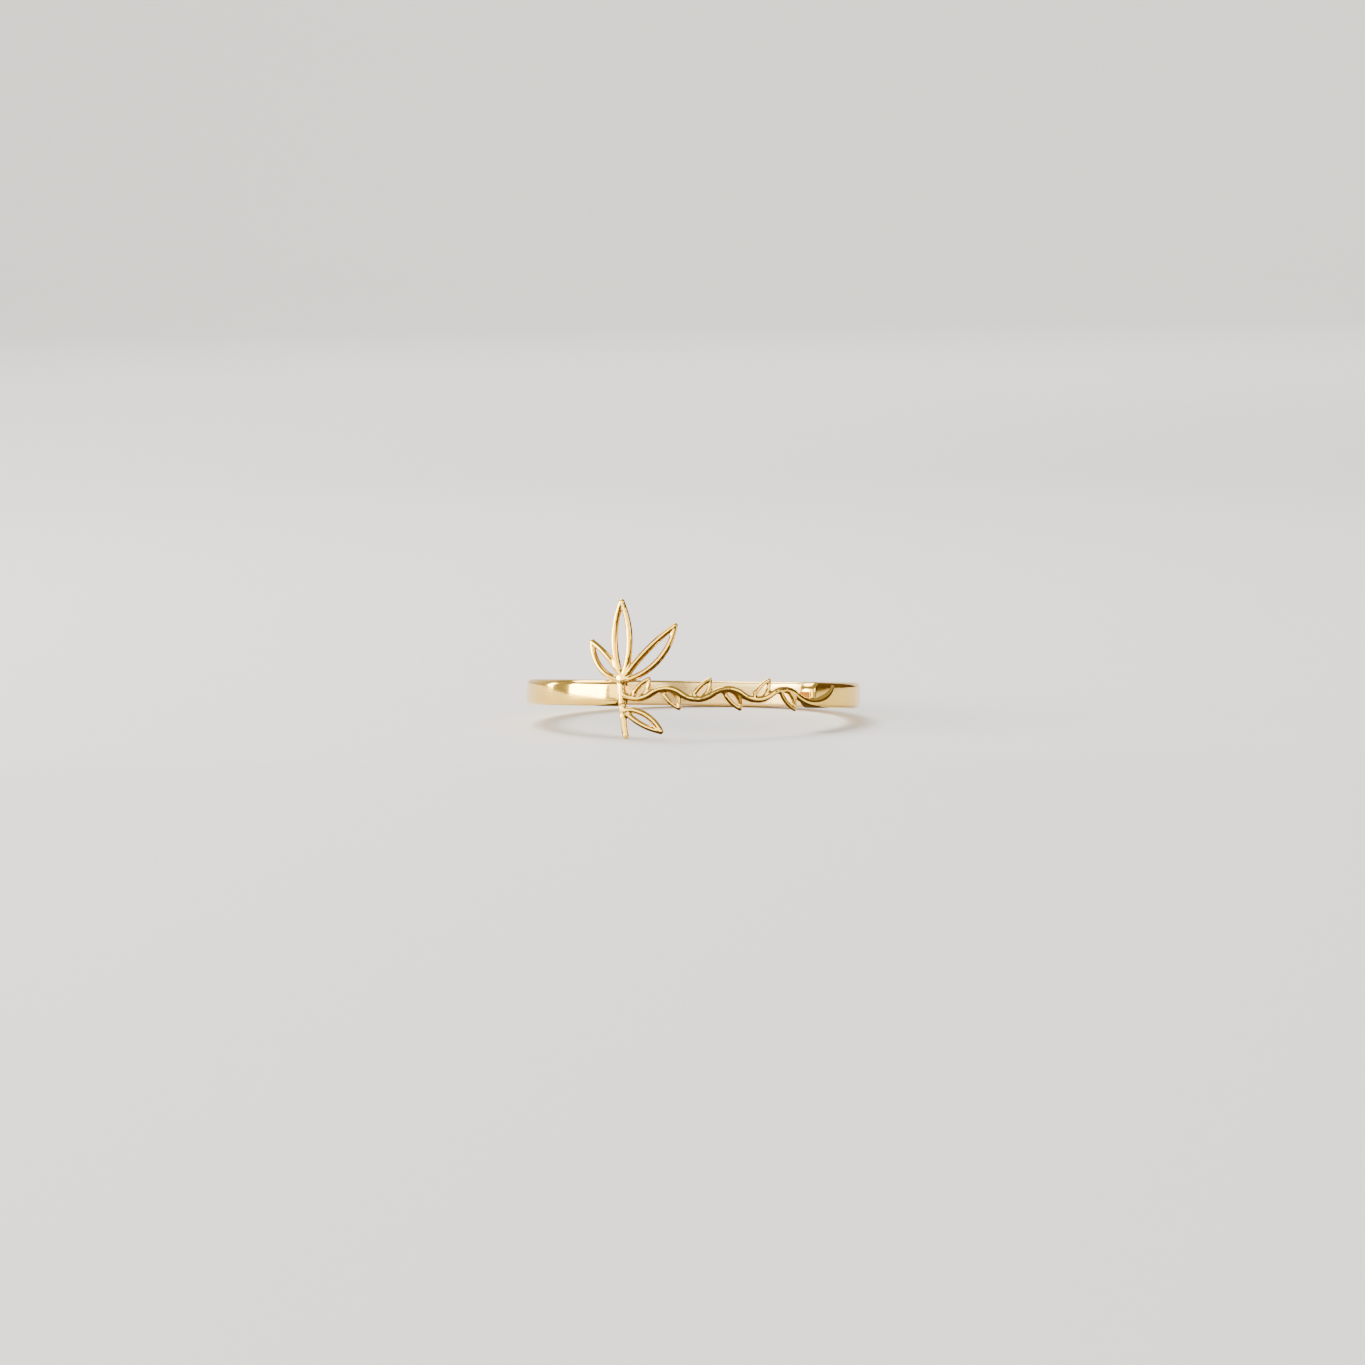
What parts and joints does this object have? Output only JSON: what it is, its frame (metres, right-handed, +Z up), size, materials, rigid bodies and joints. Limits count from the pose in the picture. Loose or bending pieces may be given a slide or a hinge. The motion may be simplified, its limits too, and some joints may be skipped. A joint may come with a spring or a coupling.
{
  "type": "name ring",
  "caption": "Open finger ring in polished yellow gold whose gap is bridged by a soldered wire flourish in the place of a name",
  "frame": {"origin": "middle of the ring's footprint at the table it lies on", "axes": "+Z up from the table, the ring's axis tipped about 5.6 degrees back from it; the flourish faces -Y; +X is to its right"},
  "size_m": [0.0196, 0.0194, 0.0079],
  "materials": {
    "gold": "polished 14 ct yellow gold"
  },
  "bodies": {
    "root": {"ring": "gold"}
  },
  "joints": []
}
